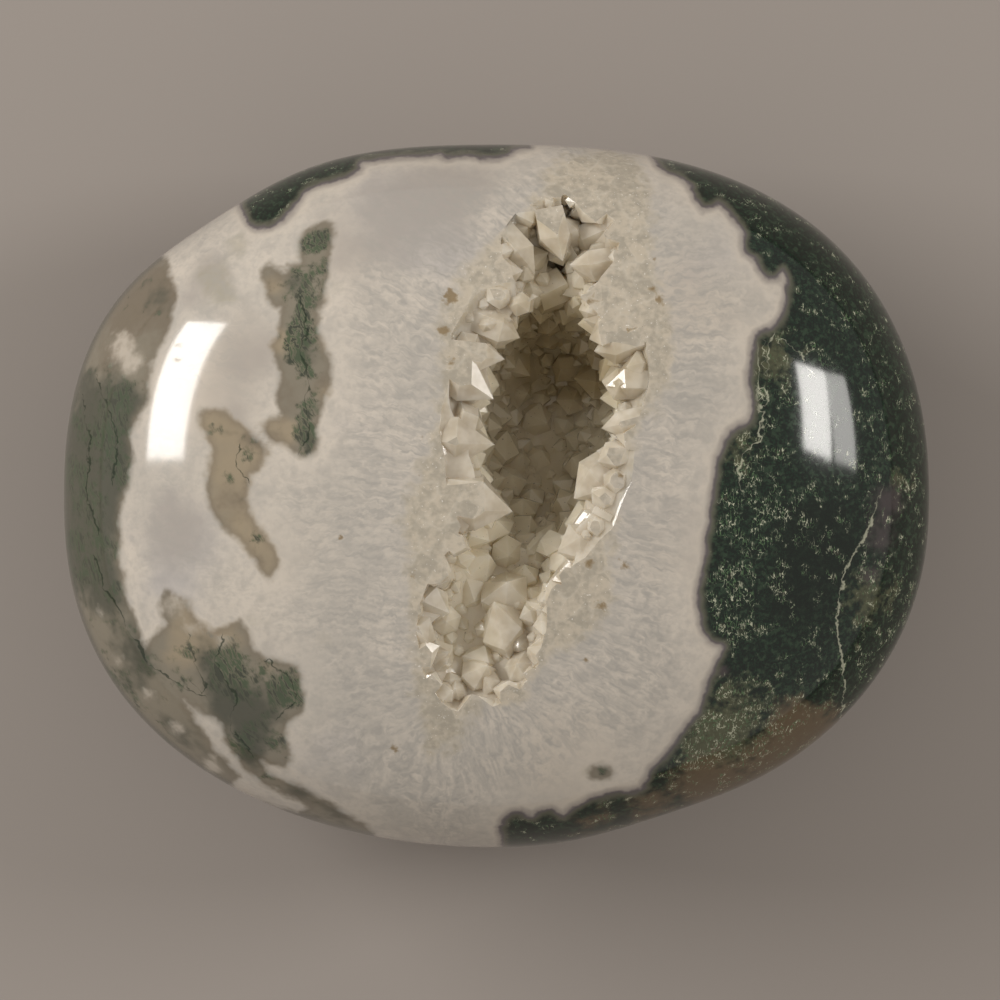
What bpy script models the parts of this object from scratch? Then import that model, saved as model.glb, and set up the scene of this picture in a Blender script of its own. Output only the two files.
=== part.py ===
"""A polished moss agate palm stone whose face opens into a vug lined with quartz crystals.

Metres, +Z up. The stone lies on its back, so the face with the vug looks up. The origin is the
middle of the flat spot that it rests on. +X runs along its length and +Y across it.

Two solids: moss_agate is the polished stone with the pocket that the crystals grew in, and
crystal_crust is the quartz that lines the pocket, ground flush with the polished face.
"""

import math
import random

import bmesh
import bpy
from mathutils import Matrix, Vector, noise

# The polished stone
HALF_LENGTH = 0.0360
HALF_WIDTH = 0.02925
GIRDLE_HEIGHT = 0.0154
FACE_RISE = 0.0166
BACK_DROP = 0.0160
DOME_POWER = 2.2
# How square each corner of the outline is: 2 is an ellipse
UPPER_LEFT, UPPER_RIGHT, LOWER_LEFT, LOWER_RIGHT = 2.48, 2.50, 2.20, 2.00
# Where the grinding left the outline flatter: direction in degrees, share taken off, spread in degrees
FLATS = ((136, 0.038, 15), (-62, 0.022, 15))
STONE_SEGMENTS = 80
STONE_RINGS = 24
SHARP_ANGLE = math.radians(30)

# The pocket in the stone, an ellipse in plan that leans to the right at its upper end
POCKET_MIDDLE = (0.0023, 0.0037)
POCKET_HALF_LENGTH = 0.0243
POCKET_HALF_WIDTH = 0.0089
POCKET_LEAN = math.radians(14.2)
POCKET_DEPTH = 0.022
POCKET_LIP = 0.0015
POCKET_LUMP = 0.0007
POCKET_LUMP_SIZE = 0.0045
POCKET_SEGMENTS = 44
POCKET_RINGS = 22
CRUST_GAP = 0.0003
# How far inside the pocket's wall the roots of the crystals end
ROOT_INSET = 0.0007

# The open spaces in the crust: middle x, y and depth under the face, half sizes, and turn in plan
HOLLOWS = {
    "collar": ((0.0038, 0.0060, 0.0000), (0.0082, 0.0128, 0.0011), -8),
    "hall": ((0.0040, 0.0060, 0.0040), (0.0062, 0.0106, 0.0140), -7),
    "sill": ((0.0016, -0.0042, 0.0004), (0.0048, 0.0050, 0.0064), -12),
    "lower_slope": ((-0.0012, -0.0104, 0.0000), (0.0052, 0.0078, 0.0042), -8),
    "upper_groove": ((0.0071, 0.0221, 0.0000), (0.0008, 0.0034, 0.0034), 22),
    "slit": ((0.0049, 0.0181, 0.0016), (0.0009, 0.0018, 0.0060), 4),
}
HOLLOW_LUMP = 0.0005
HOLLOW_LUMP_SIZE = 0.0025
HOLLOW_SEGMENTS = 20
HOLLOW_RINGS = 12

# Quartz crystals: how far their roots reach into the wall, then shares of their radius
ROOT_DEPTH = 0.0016
ROOT_RADIUS = 0.92
POINT_LENGTH = 1.25
POINT_SHIFT = 0.30
LEAST_STEM = 0.30
SIDES = 6
# The large crystals round the mouth, in millimetres and degrees:
# tip x, y, depth under the face, heading in plan, rise above level, radius, length
LARGE_CRYSTALS = (
    (1.33, -1.05, 1.5, -7, 3, 2.5, 7.5),
    (1.89, 12.7, 2.3, -22, 6, 1.7, 5.5),
    (0.68, 10.9, 0.9, -8, 0, 1.3, 4.8),
    (0.10, 8.2, 1.5, -32, 5, 2.2, 5.5),
    (-0.20, 4.3, 1.6, -5, 8, 2.2, 5.5),
    (5.35, 19.1, 1.3, -78, 0, 1.6, 5.0),
    (3.10, 18.3, 1.7, -55, 4, 2.0, 5.0),
    (1.97, 15.6, 1.3, -40, 0, 1.4, 4.5),
    (5.70, 18.3, 1.1, 186, 3, 1.5, 4.5),
    (7.10, 13.7, 1.2, 188, 4, 1.7, 4.8),
    (7.95, 11.3, 1.4, 200, 0, 1.3, 4.0),
    (8.80, 9.1, 1.6, 178, 8, 1.5, 4.0),
    (8.50, 5.2, 1.2, 196, 5, 1.3, 4.2),
    (8.10, 3.9, 1.7, 160, 10, 1.1, 3.6),
    (6.20, -0.2, 2.3, 214, 12, 2.1, 5.5),
    (5.40, -3.2, 2.0, 200, 15, 1.8, 5.0),
    (3.80, -6.8, 1.5, 182, 10, 1.9, 5.5),
    (0.45, -6.6, 2.6, 100, 62, 1.7, 4.5),
    (-0.30, -9.0, 1.3, 118, 52, 2.2, 5.5),
    (-3.10, -15.3, 0.5, 80, 72, 1.0, 3.0),
    (-4.60, -4.8, 0.6, -28, 40, 1.3, 4.0),
    (-1.00, -13.6, 1.0, 60, 60, 1.6, 4.0),
    (3.90, -10.4, 0.9, 165, 32, 1.3, 4.0),
    (-4.60, -9.6, 1.4, 5, 30, 1.2, 4.0),
    (-4.00, -12.6, 1.1, 20, 45, 1.1, 3.6),
)
# The small crystals that cover the rest of the walls
SMALL_CRYSTALS = {"hall": 50, "sill": 12, "lower_slope": 26}
SMALL_RADIUS = (0.0009, 0.0017)
SMALL_LENGTH = (1.5, 2.3)
SMALL_TILT = 0.28
CLOSEST_PACKING = 0.75
SMALL_SEED = 7
MOST_TRIES = 4000


def start_empty():
    """Removes the scene's objects, and returns the collections for the parts and the cutters."""
    for obj in list(bpy.data.objects):
        bpy.data.objects.remove(obj, do_unlink=True)
    made = []
    for name in ("moss_agate_palm_stone", "cutters"):
        collection = bpy.data.collections.new(name)
        bpy.context.scene.collection.children.link(collection)
        made.append(collection)
    return made


def material(name, colour, roughness, transmission=0.0):
    """A plain Principled material."""
    made = bpy.data.materials.new(name)
    made.use_nodes = True
    shader = made.node_tree.nodes["Principled BSDF"]
    shader.inputs["Base Color"].default_value = (*colour, 1.0)
    shader.inputs["Roughness"].default_value = roughness
    shader.inputs["Metallic"].default_value = 0.0
    shader.inputs["Transmission Weight"].default_value = transmission
    return made


def object_of(bm, name, collection, finish=None):
    """A new object that holds a bmesh, which is freed."""
    mesh = bpy.data.meshes.new(name)
    bm.to_mesh(mesh)
    bm.free()
    obj = bpy.data.objects.new(name, mesh)
    collection.objects.link(obj)
    if finish:
        mesh.materials.append(finish)
    return obj


def helper(obj):
    """Marks a cutter, which isn't part of the stone."""
    obj.hide_render = True
    obj.display_type = "WIRE"
    return obj


def blend(low, high, share):
    return low + (high - low) * share


def outline_power(u, v):
    """The superellipse's power in the direction (u, v), which differs from corner to corner."""
    reach = math.hypot(u, v)
    if reach == 0.0:
        return UPPER_RIGHT
    right = 0.5 + 0.5 * u / reach
    up = 0.5 + 0.5 * v / reach
    lower = blend(LOWER_LEFT, LOWER_RIGHT, right)
    upper = blend(UPPER_LEFT, UPPER_RIGHT, right)
    return blend(lower, upper, up)


def flatness(x, y):
    """The share by which the flats draw the outline in, in the direction of a plan point."""
    heading = math.degrees(math.atan2(y, x))
    total = 0.0
    for direction, amount, spread in FLATS:
        away = (heading - direction + 180.0) % 360.0 - 180.0
        total += amount * math.exp(-((away / spread) ** 2))
    return total


def outline_share(x, y):
    """How far out a plan point lies: 0 in the middle, 1 on the stone's outline."""
    u, v = x / HALF_LENGTH, y / HALF_WIDTH
    power = outline_power(u, v)
    return (abs(u) ** power + abs(v) ** power) ** (1.0 / power) / (1.0 - flatness(x, y))


def face_height(x, y):
    """The height of the polished face over a plan point."""
    share = min(outline_share(x, y), 1.0)
    return GIRDLE_HEIGHT + FACE_RISE * (1.0 - share**DOME_POWER) ** (1.0 / DOME_POWER)


def stone_point(unit):
    """The point of the stone's surface for a point of the unit sphere."""
    rise = FACE_RISE if unit.z > 0 else BACK_DROP
    plan = outline_share(unit.x * HALF_LENGTH, unit.y * HALF_WIDTH)
    scale = (plan**DOME_POWER + abs(unit.z) ** DOME_POWER) ** (-1.0 / DOME_POWER)
    height = GIRDLE_HEIGHT + unit.z * rise * scale
    return Vector((unit.x * HALF_LENGTH * scale, unit.y * HALF_WIDTH * scale, max(height, 0.0)))


def polished_form():
    """The whole outside of the stone, with the flat spot that it rests on."""
    bm = bmesh.new()
    bmesh.ops.create_uvsphere(bm, u_segments=STONE_SEGMENTS, v_segments=STONE_RINGS, radius=1.0)
    for vert in bm.verts:
        vert.co = stone_point(vert.co)
    return bm


def lump(point, size, seed):
    """Smooth noise from about -1 to 1."""
    return noise.noise(point / size + Vector((seed, 2.0 * seed, 3.0 * seed)))


def pocket_point(unit):
    """The point of the pocket's wall for a point of the unit sphere; its upper half is a lid."""
    wobble = 1.0 + POCKET_LUMP / POCKET_HALF_WIDTH * lump(unit * POCKET_HALF_WIDTH, POCKET_LUMP_SIZE, 1.0)
    across = unit.x * POCKET_HALF_WIDTH * wobble
    along = unit.y * POCKET_HALF_LENGTH * wobble
    x = POCKET_MIDDLE[0] + across * math.cos(POCKET_LEAN) + along * math.sin(POCKET_LEAN)
    y = POCKET_MIDDLE[1] - across * math.sin(POCKET_LEAN) + along * math.cos(POCKET_LEAN)
    return Vector((x, y, face_height(x, y) + POCKET_LIP + unit.z * (POCKET_DEPTH + POCKET_LIP)))


def pocket_form(inset):
    """The pocket's closed form, drawn in by an inset along its normals."""
    bm = bmesh.new()
    bmesh.ops.create_uvsphere(bm, u_segments=POCKET_SEGMENTS, v_segments=POCKET_RINGS, radius=1.0)
    for vert in bm.verts:
        vert.co = pocket_point(vert.co)
    bm.normal_update()
    moved = [vert.co - vert.normal * inset for vert in bm.verts]
    for vert, place in zip(bm.verts, moved):
        vert.co = place
    return bm


def hollow_point(unit, name):
    """The point of an open space's wall for a point of the unit sphere."""
    (x, y, depth), sizes, turn = HOLLOWS[name]
    reach = Vector((unit.x * sizes[0], unit.y * sizes[1], unit.z * sizes[2]))
    reach += reach.normalized() * HOLLOW_LUMP * lump(reach, HOLLOW_LUMP_SIZE, 4.0)
    reach.rotate(Matrix.Rotation(math.radians(turn), 3, "Z"))
    return Vector((x, y, face_height(x, y) - depth)) + reach


def hollow_form(name):
    """The closed form of one open space."""
    bm = bmesh.new()
    bmesh.ops.create_uvsphere(bm, u_segments=HOLLOW_SEGMENTS, v_segments=HOLLOW_RINGS, radius=1.0)
    for vert in bm.verts:
        vert.co = hollow_point(vert.co, name)
    return bm


def crystal_form(bm, tip, direction, radius, length, chance):
    """Adds a six-sided quartz crystal with a pointed end to a bmesh. Its tip is a little off its axis."""
    point_length = radius * POINT_LENGTH
    stem_length = max(length - point_length, radius * LEAST_STEM)
    root_radius = radius * ROOT_RADIUS
    made = bmesh.ops.create_cone(
        bm, cap_ends=True, segments=SIDES, radius1=root_radius, radius2=radius, depth=stem_length
    )
    verts = made["verts"]
    top = next(
        face
        for face in {face for vert in verts for face in vert.link_faces}
        if len(face.verts) == SIDES and face.calc_center_median().z > 0
    )
    apex = bmesh.ops.poke(bm, faces=[top], offset=point_length)["verts"][0]
    apex.co.x += radius * POINT_SHIFT * chance.uniform(-1.0, 1.0)
    apex.co.y += radius * POINT_SHIFT * chance.uniform(-1.0, 1.0)
    to_tip = Matrix.Translation((0.0, 0.0, -stem_length / 2 - point_length))
    spin = Matrix.Rotation(chance.uniform(0.0, math.tau / SIDES), 4, "Z")
    aim = direction.to_track_quat("Z", "Y").to_matrix().to_4x4()
    place = Matrix.Translation(tip) @ aim @ spin @ to_tip
    bmesh.ops.transform(bm, matrix=place, verts=[*verts, apex])


def large_crystals():
    """The hand-placed crystals round the mouth, as (tip, direction, radius, length)."""
    made = []
    for x, y, depth, heading, rise, radius, length in LARGE_CRYSTALS:
        x, y, depth, radius, length = (0.001 * value for value in (x, y, depth, radius, length))
        flat = math.cos(math.radians(rise))
        turn = math.radians(heading)
        direction = Vector((flat * math.cos(turn), flat * math.sin(turn), math.sin(math.radians(rise))))
        tip = Vector((x, y, face_height(x, y) - depth))
        made.append((tip, direction.normalized(), radius, length))
    return made


def small_crystals(chance):
    """Crystals on the walls of the hollows, pointing inwards, as (tip, direction, radius, length)."""
    made = []
    for name, count in SMALL_CRYSTALS.items():
        (x, y, depth), _, _ = HOLLOWS[name]
        middle = Vector((x, y, face_height(x, y) - depth))
        placed = 0
        for _ in range(MOST_TRIES):
            unit = Vector([chance.gauss(0.0, 1.0) for _ in range(3)]).normalized()
            radius = chance.uniform(*SMALL_RADIUS)
            wall = hollow_point(unit, name)
            lean = Vector([chance.gauss(0.0, SMALL_TILT) for _ in range(3)])
            if wall.z > face_height(wall.x, wall.y) - radius or not in_wall(wall, name):
                continue
            if any((wall - other).length < CLOSEST_PACKING * (radius + size) for other, size in made_roots(made)):
                continue
            direction = ((middle - wall).normalized() + lean).normalized()
            length = radius * chance.uniform(*SMALL_LENGTH)
            made.append((wall + direction * (length - ROOT_DEPTH), direction, radius, length))
            placed += 1
            if placed == count:
                break
    return made


def made_roots(crystals):
    """Where each crystal stands on its wall, and its radius."""
    for tip, direction, radius, length in crystals:
        yield tip - direction * (length - ROOT_DEPTH), radius


def in_wall(point, name):
    """Whether a point of one hollow's wall isn't inside another hollow."""
    for other, ((x, y, depth), sizes, _) in HOLLOWS.items():
        away = point - Vector((x, y, face_height(x, y) - depth))
        if other != name and sum((away[axis] / sizes[axis]) ** 2 for axis in range(3)) < 1.0:
            return False
    return True


def crystals_form(chance):
    """All the crystals, each one closed, crossing each other."""
    bm = bmesh.new()
    for crystal in [*large_crystals(), *small_crystals(chance)]:
        crystal_form(bm, *crystal, chance)
    return bm


def boolean(obj, operation, other, solver="EXACT"):
    """Adds a Boolean modifier with another object, and returns it."""
    modifier = obj.modifiers.new(operation.lower(), "BOOLEAN")
    modifier.operation = operation
    modifier.solver = solver
    modifier.object = other
    return modifier


def apply_cuts(obj):
    """Turns an object's modifiers into its mesh, and shades it smooth except at its sharp edges."""
    evaluated = obj.evaluated_get(bpy.context.evaluated_depsgraph_get())
    obj.data = bpy.data.meshes.new_from_object(evaluated)
    obj.modifiers.clear()
    obj.data.shade_smooth()
    obj.data.set_sharp_from_angle(angle=SHARP_ANGLE)


def build_stone(parts, cutters):
    """The polished stone with its pocket."""
    finish = material("moss_agate_polish", (0.43, 0.38, 0.32), 0.12)
    stone = object_of(polished_form(), "moss_agate", parts, finish)
    boolean(stone, "DIFFERENCE", helper(object_of(pocket_form(0.0), "pocket_cutter", cutters)))
    apply_cuts(stone)


def build_crust(parts, cutters):
    """The quartz crust: the pocket's filling less its hollows, with crystals, ground flush.

    The crystals cross each other, so they are made one body first, with their roots trimmed inside
    the pocket's wall. The crust has thin slivers where crystals meet, which the manifold solver cuts
    cleanly and the exact one doesn't.
    """
    chance = random.Random(SMALL_SEED)
    finish = material("milky_quartz", (0.47, 0.41, 0.33), 0.2, 0.3)
    crust = object_of(pocket_form(CRUST_GAP), "crystal_crust", parts, finish)
    for name in HOLLOWS:
        hollow = helper(object_of(hollow_form(name), f"{name}_cutter", cutters))
        boolean(crust, "DIFFERENCE", hollow, "MANIFOLD")
    crystals = helper(object_of(crystals_form(chance), "crystals", cutters))
    root_mould = helper(object_of(pocket_form(ROOT_INSET), "root_mould", cutters))
    boolean(crystals, "INTERSECT", root_mould).use_self = True
    apply_cuts(crystals)
    boolean(crust, "UNION", crystals, "MANIFOLD")
    face_mould = helper(object_of(polished_form(), "face_mould", cutters))
    boolean(crust, "INTERSECT", face_mould, "MANIFOLD")
    apply_cuts(crust)


def main():
    parts, cutters = start_empty()
    build_stone(parts, cutters)
    build_crust(parts, cutters)


main()
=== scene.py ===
"""A polished moss agate palm stone with a quartz-lined vug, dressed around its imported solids.

Metres, +Z up. The camera looks straight down on the face, as the photograph does.
"""

import math
import random

import bmesh
import bpy
import numpy as np
from mathutils import Matrix, Vector, noise


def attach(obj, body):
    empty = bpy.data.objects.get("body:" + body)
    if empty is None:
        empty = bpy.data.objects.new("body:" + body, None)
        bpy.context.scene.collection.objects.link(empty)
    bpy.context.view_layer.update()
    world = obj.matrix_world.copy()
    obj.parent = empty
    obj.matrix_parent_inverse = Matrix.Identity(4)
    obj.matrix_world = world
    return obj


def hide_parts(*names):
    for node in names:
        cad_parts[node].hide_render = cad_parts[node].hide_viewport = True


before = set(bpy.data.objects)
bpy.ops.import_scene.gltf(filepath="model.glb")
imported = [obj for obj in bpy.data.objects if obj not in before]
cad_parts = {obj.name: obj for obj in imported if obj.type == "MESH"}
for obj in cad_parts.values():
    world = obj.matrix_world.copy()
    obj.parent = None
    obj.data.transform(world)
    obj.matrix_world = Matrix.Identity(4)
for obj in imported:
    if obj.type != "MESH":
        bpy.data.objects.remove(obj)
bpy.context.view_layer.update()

MM = 0.001

# The polished stone, as in the solids
HALF_LENGTH = 0.0360
HALF_WIDTH = 0.02925
GIRDLE_HEIGHT = 0.0154
FACE_RISE = 0.0166
BACK_DROP = 0.0160
DOME_POWER = 2.2
# How square the outline is at each corner: 2 is an ellipse's corner
UPPER_LEFT, UPPER_RIGHT, LOWER_LEFT, LOWER_RIGHT = 2.48, 2.50, 2.20, 2.00
# Its flatter stretches: heading in degrees, how far they are drawn in as a share, and spread in degrees
FLATS = ((136, 0.038, 15), (-62, 0.022, 15))
STONE_SEGMENTS = 480
FACE_RINGS = 96
BACK_RINGS = 40
ANGLE_STEPS = 2000
# Kept out of divisions by nothing
TINY = 1e-12
LEAST_SLOPE = 1e-30
# The step, in metres, over which the surface's slope is measured
SLOPE_STEP = 1e-6
# How near to the polished surface a point counts as on it: as a level, and over the flat spot in metres
SURFACE_REACH = 0.004
REST_REACH = 1e-7
# How well a face and the true normal have to agree, as a cosine
AGREEMENT = 0.9

# The pocket that the crystals grew in
POCKET_MIDDLE = (0.0023, 0.0037)
POCKET_HALF_LENGTH = 0.0243
POCKET_HALF_WIDTH = 0.0089
POCKET_LEAN = math.radians(14.2)
POCKET_DEPTH = 0.022
POCKET_LIP = 0.0015
POCKET_LUMP = 0.0007
POCKET_LUMP_SIZE = 0.0045
POCKET_SEED = 1.0
POCKET_SEGMENTS = 88
POCKET_RINGS = 44
CRUST_GAP = 0.0003
# The depth under the face where the crust's gap to the stone starts
GAP_START = 0.8 * MM

# The open spaces in the crust: middle x, y and depth under the face, half sizes, and turn in plan
HOLLOWS = {
    "collar": ((0.0038, 0.0060, 0.0000), (0.0082, 0.0128, 0.0011), -8),
    "hall": ((0.0040, 0.0060, 0.0040), (0.0062, 0.0106, 0.0140), -7),
    "sill": ((0.0016, -0.0042, 0.0004), (0.0048, 0.0050, 0.0064), -12),
    "lower_slope": ((-0.0012, -0.0104, 0.0000), (0.0052, 0.0078, 0.0042), -8),
    "upper_groove": ((0.0066, 0.0216, 0.0010), (0.0008, 0.0032, 0.0048), 22),
    "slit": ((0.0049, 0.0181, 0.0016), (0.0009, 0.0018, 0.0060), 4),
    "upper_shelf": ((0.0052, 0.0205, 0.0000), (0.0047, 0.0070, 0.0030), -14),
    "left_shelf": ((-0.0002, 0.0120, 0.0000), (0.0034, 0.0072, 0.0021), -16),
    "right_shelf": ((0.0100, 0.0098, 0.0000), (0.0022, 0.0062, 0.0019), -8),
}
HOLLOW_LUMP = 0.0005
HOLLOW_LUMP_SIZE = 0.0025
HOLLOW_SEED = 4.0
HOLLOW_SEGMENTS = 40
HOLLOW_RINGS = 24

# The camera: straight above the stone, with the photograph's frame of 1000 pixels
CAMERA_RISE = 0.400
CAMERA_PLACE = (0.00029, -0.00033)
FRAME_WIDTH = 0.083333
SENSOR = 36.0
PIXELS = 1000


def mix(low, high, share):
    return low + (high - low) * share


def outline_share(x, y):
    """How far out plan points lie: 0 in the middle, 1 on the stone's outline."""
    u, v = x / HALF_LENGTH, y / HALF_WIDTH
    reach = np.hypot(u, v) + TINY
    right, up = 0.5 + 0.5 * u / reach, 0.5 + 0.5 * v / reach
    power = mix(mix(LOWER_LEFT, LOWER_RIGHT, right), mix(UPPER_LEFT, UPPER_RIGHT, right), up)
    heading = np.degrees(np.arctan2(y, x))
    flatness = sum(
        amount * np.exp(-((((heading - direction + 180.0) % 360.0 - 180.0) / spread) ** 2))
        for direction, amount, spread in FLATS
    )
    return (np.abs(u) ** power + np.abs(v) ** power) ** (1.0 / power) / (1.0 - flatness)


def face_height(x, y):
    """The height of the polished face over plan points."""
    share = np.minimum(outline_share(x, y), 1.0)
    return GIRDLE_HEIGHT + FACE_RISE * (1.0 - share**DOME_POWER) ** (1.0 / DOME_POWER)


def stone_points(unit):
    """The points of the stone's surface for points of the unit sphere, as rows."""
    x, y, z = unit.T
    rise = np.where(z > 0, FACE_RISE, BACK_DROP)
    plan = outline_share(x * HALF_LENGTH, y * HALF_WIDTH)
    scale = (plan**DOME_POWER + np.abs(z) ** DOME_POWER) ** (-1.0 / DOME_POWER)
    height = np.maximum(GIRDLE_HEIGHT + z * rise * scale, 0.0)
    return np.stack([x * HALF_LENGTH * scale, y * HALF_WIDTH * scale, height], 1)


def stone_level(points):
    """0 in the stone's middle and 1 on its surface, for points as rows."""
    x, y, z = points.T
    rise = np.where(z > GIRDLE_HEIGHT, FACE_RISE, BACK_DROP)
    return outline_share(x, y) ** DOME_POWER + (np.abs(z - GIRDLE_HEIGHT) / rise) ** DOME_POWER


def stone_normals(points):
    """The outward normals of the polished surface at points as rows."""
    steps = SLOPE_STEP * np.eye(3)
    normals = np.stack([stone_level(points + step) - stone_level(points - step) for step in steps], 1)
    normals /= np.linalg.norm(normals, axis=1, keepdims=True) + LEAST_SLOPE
    normals[points[:, 2] < REST_REACH] = (0.0, 0.0, -1.0)
    return normals


def even_angles(count, first, last):
    """Angles from the pole, from first to last, that lie evenly along the stone's surface."""
    angles = np.linspace(first, last, ANGLE_STEPS)
    unit = np.stack([np.sin(angles), np.zeros_like(angles), np.cos(angles)], 1)
    steps = np.linalg.norm(np.diff(stone_points(unit), axis=0), axis=1)
    along = np.concatenate([[0.0], np.cumsum(steps)])
    return np.interp(np.linspace(0.0, along[-1], count + 1), along, angles)


def linked(name, data):
    """A new object in the scene for a mesh, a light or a camera."""
    obj = bpy.data.objects.new(name, data)
    bpy.context.scene.collection.objects.link(obj)
    return obj


def mesh_object(name, verts, faces):
    mesh = bpy.data.meshes.new(name)
    mesh.from_pydata(verts, [], faces)
    mesh.update()
    return linked(name, mesh)


def polished_form(name):
    """The whole outside of the stone as a fine closed mesh."""
    upper = even_angles(FACE_RINGS, 0.0, math.pi / 2)
    lower = even_angles(BACK_RINGS, math.pi / 2, math.pi)
    polar = np.concatenate([upper[1:], lower[1:-1]])
    turn = np.linspace(0.0, math.tau, STONE_SEGMENTS, endpoint=False)
    polar_grid, turn_grid = np.meshgrid(polar, turn, indexing="ij")
    across, onward = np.sin(polar_grid) * np.cos(turn_grid), np.sin(polar_grid) * np.sin(turn_grid)
    ring_unit = np.stack([across, onward, np.cos(polar_grid)], 2).reshape(-1, 3)
    unit = np.concatenate([[[0.0, 0.0, 1.0]], ring_unit, [[0.0, 0.0, -1.0]]])
    verts = stone_points(unit)
    rings, last = len(polar), len(unit) - 1
    faces = []
    for ring in range(rings - 1):
        start = 1 + ring * STONE_SEGMENTS
        for step in range(STONE_SEGMENTS):
            after = (step + 1) % STONE_SEGMENTS
            under = start + STONE_SEGMENTS
            faces.append((start + step, under + step, under + after, start + after))
    for step in range(STONE_SEGMENTS):
        after = (step + 1) % STONE_SEGMENTS
        faces.append((0, 1 + step, 1 + after))
        start = 1 + (rings - 1) * STONE_SEGMENTS
        faces.append((last, start + after, start + step))
    return mesh_object(name, verts.tolist(), faces)


def lump(point, size, seed):
    """Smooth noise from about -1 to 1."""
    return noise.noise(point / size + Vector((seed, 2.0 * seed, 3.0 * seed)))


def pocket_point(unit):
    """The point of the pocket's wall for a point of the unit sphere; its upper half is a lid."""
    bump = lump(unit * POCKET_HALF_WIDTH, POCKET_LUMP_SIZE, POCKET_SEED)
    wobble = 1.0 + POCKET_LUMP / POCKET_HALF_WIDTH * bump
    across = unit.x * POCKET_HALF_WIDTH * wobble
    along = unit.y * POCKET_HALF_LENGTH * wobble
    x = POCKET_MIDDLE[0] + across * math.cos(POCKET_LEAN) + along * math.sin(POCKET_LEAN)
    y = POCKET_MIDDLE[1] - across * math.sin(POCKET_LEAN) + along * math.cos(POCKET_LEAN)
    return Vector((x, y, float(face_height(x, y)) + POCKET_LIP + unit.z * (POCKET_DEPTH + POCKET_LIP)))


def sphere_object(name, segments, rings, place):
    """A unit sphere whose points are moved by a function."""
    bm = bmesh.new()
    bmesh.ops.create_uvsphere(bm, u_segments=segments, v_segments=rings, radius=1.0)
    for vert in bm.verts:
        vert.co = place(vert.co.copy())
    bm.normal_update()
    mesh = bpy.data.meshes.new(name)
    bm.to_mesh(mesh)
    bm.free()
    return linked(name, mesh)


def pocket_object(name, gap):
    """The pocket's closed form: a fit for the stone at the face, and drawn in by a gap below it."""
    obj = sphere_object(name, POCKET_SEGMENTS, POCKET_RINGS, pocket_point)
    mesh = obj.data
    moved = []
    for vert in mesh.vertices:
        depth = float(face_height(vert.co.x, vert.co.y)) - vert.co.z
        share = min(max((depth - GAP_START) / MM, 0.0), 1.0)
        moved.append(vert.co - vert.normal * gap * share)
    for vert, place in zip(mesh.vertices, moved):
        vert.co = place
    return obj


def hollow_point(unit, name):
    """The point of an open space's wall for a point of the unit sphere."""
    (x, y, depth), sizes, turn = HOLLOWS[name]
    reach = Vector((unit.x * sizes[0], unit.y * sizes[1], unit.z * sizes[2]))
    reach += reach.normalized() * HOLLOW_LUMP * lump(reach, HOLLOW_LUMP_SIZE, HOLLOW_SEED)
    reach.rotate(Matrix.Rotation(math.radians(turn), 3, "Z"))
    return Vector((x, y, float(face_height(x, y)) - depth)) + reach


def cut(obj, operation, other):
    """Applies a Boolean with another object, which is then removed."""
    modifier = obj.modifiers.new(operation.lower(), "BOOLEAN")
    modifier.operation = operation
    modifier.solver = "MANIFOLD"
    modifier.object = other
    evaluated = obj.evaluated_get(bpy.context.evaluated_depsgraph_get())
    mesh = bpy.data.meshes.new_from_object(evaluated)
    obj.modifiers.clear()
    obj.data = mesh
    bpy.data.objects.remove(other, do_unlink=True)


# Quartz crystals

SIDES = 6
# A crystal's shape, as shares of its radius
ROOT_RADIUS = 0.92
LARGE_SHARPNESS = 1.15
DRUSE_SHARPNESS = 0.80
POINT_SHIFT = 0.30
SHOULDER_SHIFT = 0.22
LEAST_STEM = 0.30
FLAT_RANGE = (0.86, 1.10)
POINT_RANGE = (0.85, 1.15)
TOUCH_RADIUS = 0.8
# The large crystals round the mouth, in millimetres and degrees:
# tip x, y, depth under the face, heading in plan, rise above level, radius, length
LARGE_CRYSTALS = (
    (1.33, -1.05, 1.5, -7, 3, 2.5, 7.5),
    (1.89, 12.7, 2.3, -22, 6, 1.7, 5.5),
    (0.68, 10.9, 0.9, -8, 0, 1.3, 4.8),
    (0.10, 8.2, 1.5, -32, 5, 2.2, 5.5),
    (-0.20, 4.3, 1.6, -5, 8, 2.2, 5.5),
    (5.20, 18.9, 2.2, -78, 8, 1.5, 4.6),
    (3.10, 18.0, 2.3, -50, 10, 1.7, 4.6),
    (1.97, 15.6, 1.8, -40, 6, 1.4, 4.5),
    (5.90, 18.3, 2.0, 192, 12, 1.5, 4.4),
    (7.10, 13.7, 1.2, 188, 4, 1.7, 4.8),
    (7.95, 11.3, 1.4, 200, 0, 1.3, 4.0),
    (8.80, 9.1, 1.6, 178, 8, 1.5, 4.0),
    (8.50, 5.2, 1.2, 196, 5, 1.3, 4.2),
    (8.10, 3.9, 1.7, 160, 10, 1.1, 3.6),
    (6.20, -0.2, 2.3, 214, 12, 2.1, 5.5),
    (5.40, -3.2, 2.0, 200, 15, 1.8, 5.0),
    (3.80, -6.8, 1.5, 182, 10, 1.9, 5.5),
    (0.45, -6.6, 2.4, 100, 56, 2.0, 4.8),
    (-0.30, -9.0, 1.3, 118, 52, 2.2, 5.5),
    (-3.10, -15.3, 0.5, 80, 72, 1.0, 3.0),
    (-4.60, -4.8, 0.6, -28, 40, 1.3, 4.0),
    (-1.00, -13.6, 1.0, 60, 60, 1.6, 4.0),
    (3.90, -10.4, 0.9, 165, 32, 1.3, 4.0),
    (-4.60, -9.6, 1.4, 5, 30, 1.2, 4.0),
    (-4.00, -12.6, 1.1, 20, 45, 1.1, 3.6),
)
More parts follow.
